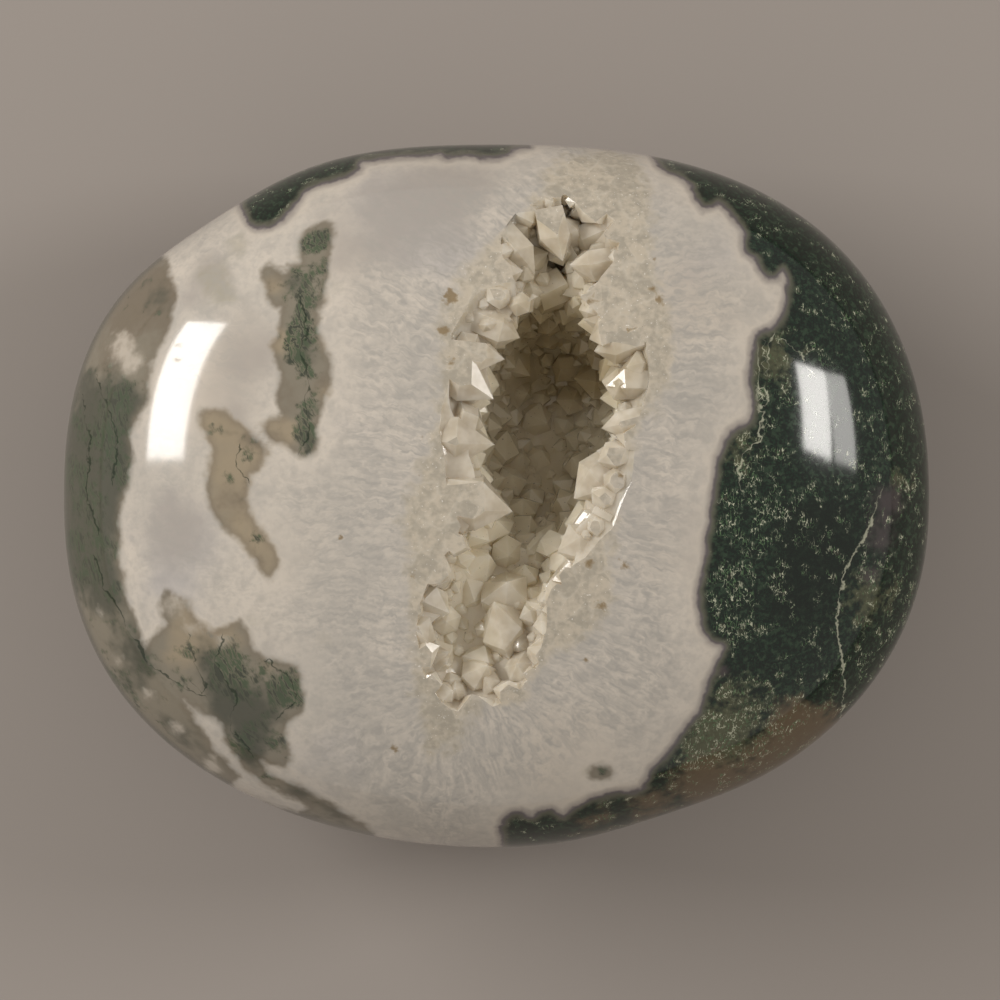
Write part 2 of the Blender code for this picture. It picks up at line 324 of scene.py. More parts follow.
# The druse on the walls: how many, least and greatest radius in millimetres, and how close they stand
DRUSE = ((150, 1.0, 1.7, 0.72), (700, 0.45, 0.95, 0.70))
DRUSE_TILT = 0.30
# How far they stand out of the wall, as shares of the radius, and reach into it, in metres
DRUSE_HEIGHT = (0.7, 1.25)
ROOT_DEPTH = 0.0016
# Druse stands within this share, squared, of the way out to the pocket's own wall
INNER_SHARE = 0.84
# Near the hall's left rim, only walls deeper than this carry druse
OPEN_RIM_Y = (-0.002, 0.0110)
OPEN_RIM_X = 0.0040
OPEN_RIM_DEPTH = 0.0022
DRUSE_SEED = 11
# Tries for each hollow, and the wall area, in square metres, of which each try stands for an equal share
MOST_TRIES = 6000
AREA_OF_TRY = 0.00015
# A place nearer to another hollow's middle than this share of its size is open, not wall
WELL_INSIDE = 0.97
# The least depth under the face, in metres, of any druse
LEAST_DEPTH = 0.0003


def crystal_verts(tip, direction, radius, length, sharpness, chance):
    """A quartz crystal's points and faces: a six-sided stem, slightly narrower at its root, and a point."""
    point_length = radius * sharpness * chance.uniform(*POINT_RANGE)
    stem_length = max(length - point_length, radius * LEAST_STEM)
    turn = chance.uniform(0.0, math.tau / SIDES)
    flats = [chance.uniform(*FLAT_RANGE) for _ in range(SIDES)]
    verts = []
    for share, height in ((ROOT_RADIUS, -stem_length - point_length), (1.0, -point_length)):
        for side in range(SIDES):
            angle = turn + math.tau * side / SIDES
            reach = radius * share * flats[side]
            verts.append(Vector((reach * math.cos(angle), reach * math.sin(angle), height)))
    for side in range(SIDES):
        verts[SIDES + side].z += radius * chance.uniform(-SHOULDER_SHIFT, SHOULDER_SHIFT)
    apex = radius * POINT_SHIFT
    verts.append(Vector((apex * chance.uniform(-1.0, 1.0), apex * chance.uniform(-1.0, 1.0), 0.0)))
    place = Matrix.Translation(tip) @ direction.to_track_quat("Z", "Y").to_matrix().to_4x4()
    faces = [tuple(reversed(range(SIDES)))]
    for side in range(SIDES):
        after = (side + 1) % SIDES
        faces.append((side, after, SIDES + after, SIDES + side))
        faces.append((SIDES + side, SIDES + after, 2 * SIDES))
    return [place @ vert for vert in verts], faces


def large_crystals():
    """The listed crystals round the mouth, as (tip, direction, radius, length, sharpness)."""
    made = []
    for x, y, depth, heading, rise, radius, length in LARGE_CRYSTALS:
        x, y, depth, radius, length = (MM * value for value in (x, y, depth, radius, length))
        flat, turn = math.cos(math.radians(rise)), math.radians(heading)
        direction = Vector((flat * math.cos(turn), flat * math.sin(turn), math.sin(math.radians(rise))))
        tip = Vector((x, y, float(face_height(x, y)) - depth))
        made.append((tip, direction.normalized(), radius, length, LARGE_SHARPNESS))
    return made


def array_of(items, key, width=1):
    """One property of a mesh's items as an array."""
    values = np.empty(len(items) * width)
    items.foreach_get(key, values)
    return values.reshape(-1, width) if width > 1 else values


def inside_hollow(points, name):
    """Whether points, as rows, lie well inside an open space."""
    (x, y, depth), sizes, turn = HOLLOWS[name]
    turn = math.radians(turn)
    away = points - [x, y, float(face_height(x, y)) - depth]
    across = away[:, 0] * math.cos(turn) + away[:, 1] * math.sin(turn)
    along = away[:, 1] * math.cos(turn) - away[:, 0] * math.sin(turn)
    return np.linalg.norm(np.stack([across, along, away[:, 2]], 1) / sizes, axis=1) < WELL_INSIDE


def wall_places():
    """Random places on the hollows' walls, spread evenly over their area, and the walls' normals there."""
    draw = np.random.RandomState(DRUSE_SEED)
    places, normals = [], []
    for name, (_, sizes, turn) in HOLLOWS.items():
        units = draw.normal(size=(MOST_TRIES, 3))
        units /= np.linalg.norm(units, axis=1, keepdims=True)
        slopes = units / sizes
        area = np.linalg.norm(slopes, axis=1) * np.prod(sizes)
        chosen = draw.uniform(size=MOST_TRIES) < area / AREA_OF_TRY
        spots = np.array([hollow_point(Vector(unit), name) for unit in units[chosen]])
        slopes = slopes[chosen] @ np.array(Matrix.Rotation(math.radians(turn), 3, "Z")).T
        open_side = np.zeros(len(spots), bool)
        for other in HOLLOWS:
            if other != name:
                open_side |= inside_hollow(spots, other)
        depth = face_height(spots[:, 0], spots[:, 1]) - spots[:, 2]
        aside, onward = spots[:, 0] - POCKET_MIDDLE[0], spots[:, 1] - POCKET_MIDDLE[1]
        across = (aside * math.cos(POCKET_LEAN) - onward * math.sin(POCKET_LEAN)) / POCKET_HALF_WIDTH
        along = (aside * math.sin(POCKET_LEAN) + onward * math.cos(POCKET_LEAN)) / POCKET_HALF_LENGTH
        downward = (depth + POCKET_LIP) / (POCKET_DEPTH + POCKET_LIP)
        inner = across**2 + along**2 + downward**2 < INNER_SHARE
        open_rim = (spots[:, 0] < OPEN_RIM_X) & (spots[:, 1] > OPEN_RIM_Y[0]) & (spots[:, 1] < OPEN_RIM_Y[1])
        kept = inner & ~open_side & (depth > np.where(open_rim, OPEN_RIM_DEPTH, LEAST_DEPTH))
        places.append(spots[kept])
        normals.append(-slopes[kept] / np.linalg.norm(slopes[kept], axis=1, keepdims=True))
    order = draw.permutation(sum(len(spots) for spots in places))
    return np.concatenate(places)[order], np.concatenate(normals)[order]


def druse_crystals(chance):
    """Crystals that cover the hollows' walls, as (tip, direction, radius, length, sharpness)."""
    places, normals = wall_places()
    roots, radii, made = np.empty((0, 3)), np.empty(0), []
    for count, least, greatest, packing in DRUSE:
        placed = 0
        for index, spot in enumerate(places):
            radius = MM * chance.uniform(least, greatest)
            if len(roots) and (np.linalg.norm(roots - spot, axis=1) < packing * (radii + radius)).any():
                continue
            roots, radii = np.vstack([roots, spot]), np.append(radii, radius)
            lean = Vector([chance.gauss(0.0, DRUSE_TILT) for _ in range(3)])
            direction = (Vector(normals[index]) + lean).normalized()
            height = radius * chance.uniform(*DRUSE_HEIGHT)
            tip = Vector(spot) + direction * height
            made.append((tip, direction, radius, height + ROOT_DEPTH, DRUSE_SHARPNESS))
            placed += 1
            if placed == count:
                break
    return made


def groups_apart(crystals):
    """Sorts crystals into groups in which none touches another."""
    groups = []
    for crystal in crystals:
        tip, direction, radius, length, _ = crystal
        middle, reach = tip - direction * length / 2, length / 2 + radius * TOUCH_RADIUS
        for group in groups:
            if all((middle - other).length > reach + size for other, size, _ in group):
                group.append((middle, reach, crystal))
                break
        else:
            groups.append([(middle, reach, crystal)])
    return [[crystal for _, _, crystal in group] for group in groups]


def crystals_object(name, crystals, chance):
    """One mesh of crystals that don't touch."""
    verts, faces = [], []
    for crystal in crystals:
        more_verts, more_faces = crystal_verts(*crystal, chance)
        faces += [tuple(len(verts) + index for index in face) for face in more_faces]
        verts += more_verts
    return mesh_object(name, verts, faces)


def set_normals(obj):
    """Gives polished faces their true normals and leaves the others flat. Returns which are polished."""
    mesh = obj.data
    mesh.shade_smooth()
    points = array_of(mesh.vertices, "co", 3)
    corners = array_of(mesh.loops, "vertex_index").astype(int)
    totals = array_of(mesh.polygons, "loop_total").astype(int)
    owners = np.repeat(np.arange(len(totals)), totals)
    on_surface = (np.abs(stone_level(points) - 1.0) < SURFACE_REACH) | (points[:, 2] < REST_REACH)
    smooth = stone_normals(points)[corners]
    flat = array_of(mesh.polygons, "normal", 3)[owners]
    polished = np.ones(len(totals), bool)
    np.logical_and.at(polished, owners, on_surface[corners] & ((flat * smooth).sum(1) > AGREEMENT))
    mesh.normals_split_custom_set(np.where(polished[owners][:, None], smooth, flat).tolist())
    return polished


# Markings, read off the photograph in its own pixels

CRUST_LINE = (
    (560, 160), (585, 152), (610, 150), (640, 160), (650, 200), (655, 260), (668, 300), (672, 340),
    (675, 380), (655, 400), (640, 430), (630, 460), (622, 480), (615, 520), (612, 560), (612, 600),
    (600, 625), (570, 650), (545, 660), (530, 690), (510, 705), (480, 706), (455, 745), (430, 760),
    (418, 700), (412, 650), (408, 600), (410, 560), (402, 520), (415, 480), (430, 450), (440, 400),
    (438, 350), (445, 300), (470, 265), (490, 240), (520, 215), (540, 190), (550, 165),
)
RIGHT_FLANK = (
    (640, 120), (650, 155), (656, 165), (665, 173), (680, 178), (690, 187), (695, 200), (703, 209),
    (712, 207), (720, 204), (728, 212), (735, 221), (743, 232), (742, 245), (745, 254), (755, 259),
    (760, 272), (768, 280), (778, 280), (783, 270), (787, 280), (785, 300), (781, 318), (768, 329),
    (757, 333), (752, 342), (752, 355), (749, 368), (748, 380), (750, 395), (751, 410), (750, 421),
    (740, 424), (730, 432), (722, 445), (716, 462), (714, 480), (710, 500), (709, 520), (705, 540),
    (704, 560), (700, 575), (697, 590), (698, 605), (700, 620), (703, 632), (710, 642), (722, 647),
    (718, 660), (712, 672), (706, 685), (702, 700), (698, 712), (688, 722), (678, 735), (672, 748),
    (660, 760), (650, 768), (645, 780), (642, 789), (620, 791), (605, 794), (590, 798), (575, 806),
    (563, 815), (558, 812), (550, 808), (540, 810), (533, 815), (527, 814), (520, 810), (510, 812),
    (503, 818), (500, 828), (508, 900), (760, 900), (1050, 760), (1050, 120),
)
TOP_RIM = (
    (530, 120), (530, 148), (515, 150), (510, 155), (500, 158), (480, 160), (475, 156), (445, 158),
    (440, 155), (425, 157), (400, 158), (380, 160), (362, 163), (360, 170), (345, 178), (330, 183),
    (315, 187), (305, 193), (298, 203), (290, 215), (283, 222), (270, 228), (255, 229), (248, 225),
    (243, 215), (235, 196), (215, 150), (300, 100),
)
GREEN_STRIP = (
    (325, 221), (335, 225), (334, 235), (331, 250), (330, 262), (328, 280), (325, 300), (318, 310),
    (320, 330), (325, 345), (330, 360), (332, 380), (328, 395), (322, 410), (316, 425), (318, 440),
    (316, 452), (308, 458), (298, 455), (290, 447), (280, 444), (268, 440), (262, 432), (262, 424),
    (270, 418), (283, 417), (280, 405), (275, 395), (278, 385), (280, 372), (275, 358), (270, 345),
    (277, 335), (280, 320), (280, 308), (270, 306), (265, 295), (262, 280), (262, 270), (270, 264),
    (278, 268), (285, 272), (290, 264), (300, 262), (297, 252), (297, 240), (303, 232), (312, 226),
)
BEIGE_BAND = (
    (200, 410), (215, 407), (235, 418), (250, 430), (262, 440), (268, 452), (262, 465), (250, 475),
    (252, 485), (248, 495), (250, 510), (258, 525), (268, 537), (277, 550), (278, 565), (270, 580),
    (262, 572), (252, 558), (243, 545), (232, 535), (220, 528), (212, 515), (207, 500), (206, 480),
    (210, 465), (213, 450), (205, 437), (198, 425),
)
LEFT_FLANK = (
    (150, 400), (135, 420), (130, 440), (133, 460), (130, 480), (122, 500), (120, 520), (121, 540),
    (120, 560), (124, 580), (128, 600), (135, 620), (143, 640), (150, 650), (160, 660), (175, 668),
    (180, 690), (195, 720), (215, 750), (240, 775), (200, 820), (100, 800), (-50, 600), (-50, 400),
    (60, 200), (140, 225), (166, 260), (176, 290), (174, 320), (160, 345), (150, 370),
)
LOWER_MOSS = (
    (165, 590), (190, 600), (195, 620), (215, 630), (240, 620), (250, 635), (252, 650), (265, 655),
    (280, 660), (298, 665), (302, 680), (300, 690), (305, 700), (302, 712), (290, 722), (283, 735),
    (293, 760), (285, 768), (262, 760), (265, 770), (280, 778), (295, 782), (310, 790), (330, 803),
    (350, 815), (375, 832), (360, 900), (250, 880), (150, 780), (190, 745), (235, 790), (270, 805),
    (300, 812), (310, 806), (285, 795), (260, 782), (245, 770), (235, 755), (225, 740), (222, 728),
    (215, 718), (200, 714), (190, 705), (175, 695), (160, 685), (150, 675), (140, 660), (150, 640),
    (165, 625), (160, 605),
)
SMALL_BLOB = (
    (590, 772), (594, 766), (602, 763), (611, 766), (615, 773), (610, 779), (598, 780), (591, 778),
)
# Each guide is the distance to the nearest of its outlines, less than zero inside
OUTLINES = {
    "crust_line": (CRUST_LINE,),
    "mossy": (RIGHT_FLANK, TOP_RIM),
    "smoky": (LEFT_FLANK, LOWER_MOSS, GREEN_STRIP, BEIGE_BAND, SMALL_BLOB),
}
# The edge of the left flank, which is both a pale thread and a dark line
FLANK_SEAM = ((95, 560), (105, 590), (120, 610), (135, 640), (145, 660), (165, 675), (200, 695))
CRACKS = (((882, 490), (868, 530), (845, 570), (836, 620), (840, 650), (845, 690), (841, 715)),)
THREADS = (
    ((772, 338), (768, 352), (770, 368), (764, 384), (768, 402), (762, 420), (758, 436)),
    ((757, 345), (760, 372), (756, 398), (760, 418)),
    ((786, 340), (800, 352), (812, 372)),
    ((760, 440), (745, 452), (738, 470), (742, 490)),
    FLANK_SEAM,
)
DARK_LINES = (
    FLANK_SEAM,
    ((300, 300), (306, 330), (300, 360), (312, 380), (306, 400), (310, 430), (302, 450)),
    ((222, 640), (216, 660), (226, 680), (236, 700), (232, 730), (250, 752)),
    ((270, 664), (290, 676), (298, 700), (280, 716)),
    ((190, 640), (196, 660), (205, 685)),
    ((240, 450), (236, 464), (246, 478)),
    ((98, 380), (110, 410), (118, 440), (112, 480)),
    ((84, 400), (90, 440), (86, 490), (96, 530)),
)
# Each guide is the distance to the nearest of its lines, and the side of it
LINES = {"threads": CRACKS + THREADS, "dark_lines": DARK_LINES}
# Each guide is the sum of its soft spots: x, y, radius and strength
SPOTS = {
    "flecks": (
        (745, 470, 26, 1.0), (742, 530, 28, 1.0), (735, 590, 26, 0.9), (728, 625, 16, 0.7),
        (770, 380, 26, 0.8), (730, 730, 42, 0.9), (700, 745, 24, 0.8), (775, 735, 36, 0.5),
        (910, 480, 12, 0.9), (905, 600, 24, 0.6), (880, 620, 26, 0.6), (860, 470, 26, 0.3),
        (790, 520, 30, 0.4), (870, 560, 22, 0.4),
    ),
    "olive": (
        (770, 360, 30, 1.0), (735, 450, 26, 0.7), (730, 725, 50, 0.9), (870, 600, 34, 0.8),
        (900, 480, 18, 0.6), (815, 760, 40, 0.7), (705, 755, 30, 0.7),
    ),
    "veil": (
        (212, 278, 20, 0.6), (238, 246, 13, 0.5), (226, 300, 12, 0.4), (340, 290, 12, 0.3),
        (255, 620, 20, 0.3), (320, 640, 14, 0.3), (180, 610, 12, 0.4), (586, 771, 8, 0.5),
    ),
    # Darker smoky tone, partly painted shade that keeps the steep left flank dark
    "shade": (
        (100, 440, 34, 0.9), (95, 520, 34, 0.8), (75, 500, 30, 0.8), (110, 600, 26, 0.7),
        (140, 680, 26, 0.6), (230, 700, 30, 0.7), (270, 700, 26, 0.6), (210, 660, 22, 0.6),
        (255, 750, 22, 0.7), (300, 800, 22, 0.6), (180, 735, 26, 0.5), (320, 240, 14, 0.6),
        (308, 440, 14, 0.6), (296, 280, 12, 0.5), (152, 290, 16, 0.5), (345, 815, 20, 0.6),
        (85, 380, 16, 0.5), (120, 400, 26, 0.8), (85, 440, 26, 0.9), (80, 560, 26, 0.8),
        (130, 640, 22, 0.7), (165, 300, 18, 0.3), (315, 300, 14, 0.5), (305, 350, 14, 0.5),
        (601, 771, 9, 0.6), (70, 460, 20, 0.9), (65, 540, 20, 0.8), (240, 720, 30, 0.4),
        (100, 480, 40, 0.8), (88, 400, 20, 0.7), (95, 570, 26, 0.6),
    ),
    "purple": (
        (888, 500, 17, 0.9), (880, 538, 17, 0.8), (870, 575, 12, 0.6), (722, 670, 7, 1.0),
        (232, 705, 9, 0.8),
    ),
    "depths": (
        (820, 540, 44, 1.0), (800, 600, 36, 0.7), (830, 430, 40, 0.4), (780, 310, 24, 0.4),
        (885, 510, 20, 0.5),
    ),
    "stains": (
        (450, 297, 9, 1.0), (444, 330, 7, 0.9), (452, 362, 6, 0.7), (660, 300, 6, 0.9),
        (653, 288, 5, 0.8), (600, 606, 6, 1.0), (590, 563, 6, 0.9), (624, 566, 9, 0.6),
        (587, 660, 4, 0.8), (340, 538, 4, 0.8), (395, 748, 7, 0.8), (415, 575, 8, 0.6),
        (418, 472, 6, 0.6), (420, 438, 5, 0.6), (622, 475, 6, 0.8), (415, 630, 7, 0.4),
        (425, 750, 8, 0.5), (655, 258, 5, 0.5), (590, 300, 12, 0.5), (560, 295, 14, 0.4),
        (180, 345, 4, 0.9), (178, 359, 5, 1.0),
    ),
    "brown": (
        (150, 285, 30, 1.0), (178, 300, 20, 0.9), (125, 320, 26, 0.9), (165, 330, 16, 0.6),
        (110, 360, 18, 0.6), (222, 265, 18, 0.5), (235, 240, 12, 0.4), (800, 735, 30, 0.8),
        (790, 712, 20, 0.5), (700, 778, 26, 0.7), (285, 400, 18, 0.6), (272, 440, 12, 0.6),
        (322, 380, 10, 0.7), (230, 500, 20, 0.6), (262, 560, 12, 0.5), (250, 440, 14, 0.5),
        (275, 280, 12, 0.4), (770, 762, 34, 0.9), (720, 790, 30, 0.9), (650, 806, 26, 0.8),
        (830, 722, 22, 0.6), (590, 822, 24, 0.6), (760, 345, 10, 0.4),
    ),
    "green": (
        (118, 400, 20, 0.8), (108, 440, 24, 0.9), (124, 474, 14, 0.8), (90, 500, 20, 0.8),
        (102, 545, 20, 0.7), (84, 575, 16, 0.8), (70, 470, 16, 0.9), (72, 540, 14, 0.9),
        (78, 420, 12, 0.7), (112, 590, 14, 0.6), (130, 630, 10, 0.7), (150, 662, 10, 0.7),
        (180, 685, 10, 0.6), (110, 690, 30, 0.7), (150, 745, 24, 0.5), (190, 648, 11, 0.8),
        (226, 660, 16, 1.0), (236, 690, 12, 0.8), (285, 688, 15, 1.0), (298, 700, 8, 0.8),
        (284, 740, 10, 0.7), (238, 744, 13, 0.9), (268, 776, 10, 0.5), (300, 325, 15, 1.0),
        (303, 300, 10, 0.8), (294, 345, 12, 0.8), (311, 375, 9, 0.9), (309, 405, 9, 1.0),
        (306, 436, 13, 1.0), (318, 240, 12, 0.7), (322, 270, 10, 0.7), (300, 272, 10, 0.5),
        (245, 456, 7, 0.7), (229, 480, 6, 0.6), (259, 540, 6, 0.6), (304, 458, 8, 0.6),
        (601, 771, 5, 0.7), (300, 350, 16, 0.7), (310, 290, 14, 0.6), (310, 420, 12, 0.6),
        (236, 676, 24, 0.6), (284, 690, 20, 0.5), (262, 735, 24, 0.4), (315, 245, 12, 0.8),
    ),
    "warm": (
        (240, 470, 40, 1.0), (262, 540, 34, 1.0), (218, 425, 24, 0.9), (278, 340, 16, 0.8),
        (276, 430, 16, 0.6), (330, 300, 10, 0.5), (210, 625, 34, 0.8), (270, 285, 14, 0.7),
        (331, 340, 12, 0.7), (330, 395, 12, 0.6), (288, 432, 14, 0.5), (180, 655, 20, 0.5),
        (270, 665, 16, 0.4),
    ),
    "dim": (
        (230, 420, 24, 0.5), (212, 275, 22, 0.9), (190, 300, 16, 0.7), (175, 530, 40, 0.9),
        (420, 205, 60, 0.8), (255, 350, 40, 0.7), (350, 250, 50, 0.5), (200, 390, 40, 0.4),
        (690, 300, 50, 0.4), (680, 520, 50, 0.4), (470, 190, 50, 0.4),
    ),
    # painted shade: darker, browner crystals over the deep hall, the slit and the hole's right side
    "gloom": (
        (548, 330, 46, 1.0), (570, 375, 28, 0.8), (520, 390, 26, 0.4), (538, 225, 14, 1.0),
        (545, 255, 16, 1.0), (622, 372, 26, 0.9),
    ),
    "bluish": (
        (400, 210, 55, 0.8), (450, 250, 45, 0.6), (560, 205, 20, 0.5), (180, 540, 45, 0.8),
        (170, 600, 30, 0.5), (330, 760, 60, 0.4), (370, 440, 50, 0.3), (720, 260, 40, 0.5),
    ),
    "pale_patch": (
        (170, 604, 16, 0.6), (193, 627, 14, 0.5), (222, 642, 12, 0.5), (122, 345, 17, 0.8),
        (132, 366, 12, 0.7), (100, 610, 9, 0.5), (118, 660, 9, 0.6), (148, 695, 10, 0.7),
        (178, 728, 10, 0.7), (212, 765, 12, 0.8), (245, 792, 12, 0.8),
    ),
    # Partly milky chalcedony, partly painted light: the spots low on the face lighten the stone's lower part
    "milky": (
        (690, 300, 60, 0.8), (670, 560, 50, 0.4), (560, 760, 70, 0.7), (200, 390, 50, 0.9),
        (350, 250, 50, 0.5), (300, 560, 60, 0.4), (240, 340, 40, 0.5),
    ),
}
PERIMETER_STEPS = 720
PLAN_PASSES = 4
# More than any distance on the stone, and the least rise of an edge, in millimetres
FAR = 1e9
LEAST_RISE = 1e-9
# The wandering of the pattern on the lower side: waves, their strength and how it falls with each octave,
# their size in millimetres, and how much stronger they get for each millimetre down
OCTAVES = 3
WAVES = 4
WAVE_STRENGTH = 0.35
WAVE_FALL = 1.7
WANDER_SIZE = 26.0
WANDER_SEED = 5
WANDER_GROWTH = 0.32
WANDER_TOP = GIRDLE_HEIGHT + 1.0 * MM
# How fast, for each millimetre down, the crust's outline and the small blob close, and the lines fade
OUTLINE_CLOSING = 3.0
LINE_FADING = 0.6


def plan_of(pixels):
    """Where photograph pixels fall on the polished face, in millimetres from the stone's middle."""
    pixels = np.array(pixels, float)
    aside = (pixels[:, 0] - PIXELS / 2) / PIXELS * FRAME_WIDTH / CAMERA_RISE
    upward = (PIXELS / 2 - pixels[:, 1]) / PIXELS * FRAME_WIDTH / CAMERA_RISE
    height = np.zeros(len(pixels))
    for _ in range(PLAN_PASSES):
        x = CAMERA_PLACE[0] + aside * (CAMERA_RISE - height)
        y = CAMERA_PLACE[1] + upward * (CAMERA_RISE - height)
        height = face_height(x, y) - GIRDLE_HEIGHT
    return np.stack([x, y], 1) / MM


def line_distance(plan, line, closed):
    """The distance from plan points to a line, whether they lie inside it, and on which side of it."""
    ends = np.roll(line, -1, axis=0) if closed else line[1:]
    starts = line if closed else line[:-1]
    nearest, inside = np.full(len(plan), FAR), np.zeros(len(plan), bool)
    side = np.ones(len(plan))
    for (ax, ay), (bx, by) in zip(starts, ends):
        dx, dy = bx - ax, by - ay
        share = ((plan[:, 0] - ax) * dx + (plan[:, 1] - ay) * dy) / (dx * dx + dy * dy + TINY)
        share = np.clip(share, 0.0, 1.0)
        away = np.hypot(plan[:, 0] - ax - share * dx, plan[:, 1] - ay - share * dy)
        turn = np.where((plan[:, 0] - ax) * dy > (plan[:, 1] - ay) * dx, 1.0, -1.0)
        side = np.where(away < nearest, turn, side)
        nearest = np.minimum(nearest, away)
        crosses = (ay > plan[:, 1]) != (by > plan[:, 1])
        rise = dy if abs(dy) > LEAST_RISE else LEAST_RISE
        inside ^= crosses & (plan[:, 0] < ax + (plan[:, 1] - ay) * dx / rise)
    return nearest, inside, side


def wavy(points, size, seed):
    """A smooth wandering vector field, in shares of its strength, for points in millimetres."""
    total = np.zeros_like(points)
    draw = np.random.RandomState(seed)
    for octave in range(OCTAVES):
        for _ in range(WAVES):
            direction = draw.normal(size=3)
            direction /= np.linalg.norm(direction)
            push = draw.normal(size=3)
            wave = np.sin(points @ direction * (2.0**octave) * math.tau / size + draw.uniform(0, math.tau))
            total += wave[:, None] * push * WAVE_STRENGTH / (WAVE_FALL**octave)
    return total


def mark(obj):
    """Stores the markings' guides on a piece: distances to outlines and lines, and sums of soft spots.

    Below the girdle the pattern runs on through the stone, and wanders more the deeper it lies.
    """
    mesh = obj.data
    points = array_of(mesh.vertices, "co", 3)
    below = np.maximum(WANDER_TOP - points[:, 2], 0.0) / MM
    wander = wavy(points / MM, WANDER_SIZE, WANDER_SEED) * (WANDER_GROWTH * below[:, None])
    plan = (points / MM + wander)[:, :2]
    for name, outlines in OUTLINES.items():
        guide = np.full(len(plan), FAR)
        for outline in outlines:
            nearest, inside, _ = line_distance(plan, plan_of(outline), True)
            signed = np.where(inside, -nearest, nearest)
            if outline in (CRUST_LINE, SMALL_BLOB):
                signed = signed + below * OUTLINE_CLOSING
            guide = np.minimum(guide, signed)
        store(mesh, name, guide)
    for name, lines in LINES.items():
        found = [line_distance(plan, plan_of(line), False) for line in lines]
        away = np.array([nearest for nearest, _, _ in found])
        chosen = away.argmin(0)[None]
        nearest = np.take_along_axis(away, chosen, 0)[0]
        side = np.take_along_axis(np.array([side for _, _, side in found]), chosen, 0)[0]
        store(mesh, name, nearest + below * LINE_FADING)
        store(mesh, name + "_side", nearest * side)
    for name, spots in SPOTS.items():
        total = np.zeros(len(plan))
        for x, y, radius, strength in spots:
            (middle,) = plan_of(((x, y),))
            away = np.hypot(*(plan - middle).T) / (radius * FRAME_WIDTH / PIXELS / MM)
            total += strength * np.exp(-(away**2))
        store(mesh, name, total)
    mark_fibres(mesh, plan)
    depth = (face_height(points[:, 0], points[:, 1]) - points[:, 2]) / MM
    store(mesh, "depth", depth)
    # the distance in from the outline, used for painted shade along the edge
    store(mesh, "rim", (1.0 - outline_share(points[:, 0], points[:, 1])) * HALF_LENGTH / MM)


def mark_fibres(mesh, plan):
    """Stores coordinates whose third value grows outwards from the vug and whose others run round it."""
    turn = np.linspace(0.0, math.tau, PERIMETER_STEPS, endpoint=False)
    rim = np.array([pocket_point(Vector((math.cos(a), math.sin(a), 0.0)))[:2] for a in turn]) / MM
    around = np.concatenate([[0.0], np.cumsum(np.linalg.norm(np.diff(rim, axis=0), axis=1))])
    radius = around[-1] / math.tau
    nearest, which = np.full(len(plan), FAR), np.zeros(len(plan), int)
    for index, spot in enumerate(rim):
        away = np.hypot(*(plan - spot).T)
        closer = away < nearest
        nearest[closer], which[closer] = away[closer], index
    angle = around[which] / radius
    fibres = np.stack([radius * np.cos(angle), radius * np.sin(angle), nearest], 1)
    attribute = mesh.attributes.new("fibres", "FLOAT_VECTOR", "POINT")
    attribute.data.foreach_set("vector", fibres.astype(np.float32).ravel())


def store(mesh, name, values):
    """Keeps one value for each point of a mesh."""
    attribute = mesh.attributes.new(name, "FLOAT", "POINT")
    attribute.data.foreach_set("value", np.asarray(values, np.float32))


def build_stone():
    """The polished stone with its pocket."""
    stone = polished_form("polished_stone")
    cut(stone, "DIFFERENCE", pocket_object("pocket", 0.0))
    return stone


def build_crust():
    """The quartz crust: the pocket's filling less its hollows, with crystals, cut flush with the face."""
    chance = random.Random(DRUSE_SEED)
    crust = pocket_object("quartz_crust", CRUST_GAP)
    for name in HOLLOWS:
        hollow = sphere_object(name, HOLLOW_SEGMENTS, HOLLOW_RINGS, lambda unit: hollow_point(unit, name))
        cut(crust, "DIFFERENCE", hollow)
    crystals = [*large_crystals(), *druse_crystals(chance)]
    mould = pocket_object("mould", CRUST_GAP)
    for number, group in enumerate(groups_apart(crystals)):
        cut(crust, "UNION", crystals_object(f"crystals_{number}", group, chance))
    cut(crust, "INTERSECT", mould)
    cut(crust, "INTERSECT", polished_form("face_mould"))
    return crust


# Materials


# The noises' sizes, in millimetres, and their settings
SPECK, FINE, MIDDLE, COARSE, BROAD = 0.20, 0.50, 1.4, 3.2, 8.0
FEATHER, WORM, STROKE = 0.36, 0.30, 0.30
NOISE_DETAIL = 2.0
NOISE_ROUGHNESS = 0.55
WANDER_STRENGTH = 1.6
# How the feathers, the worm-like flecks and the strokes are drawn out, and the strokes' heading
FEATHER_STRETCH = (1.0, 1.0, 0.22)
WORM_STRETCH = (1.0, 0.45, 0.45)
STROKE_STRETCH = (0.13, 1.0, 1.0)
STROKE_TURN = math.radians(62)
# Grains for each millimetre
GRAIN_SCALE = 0.55


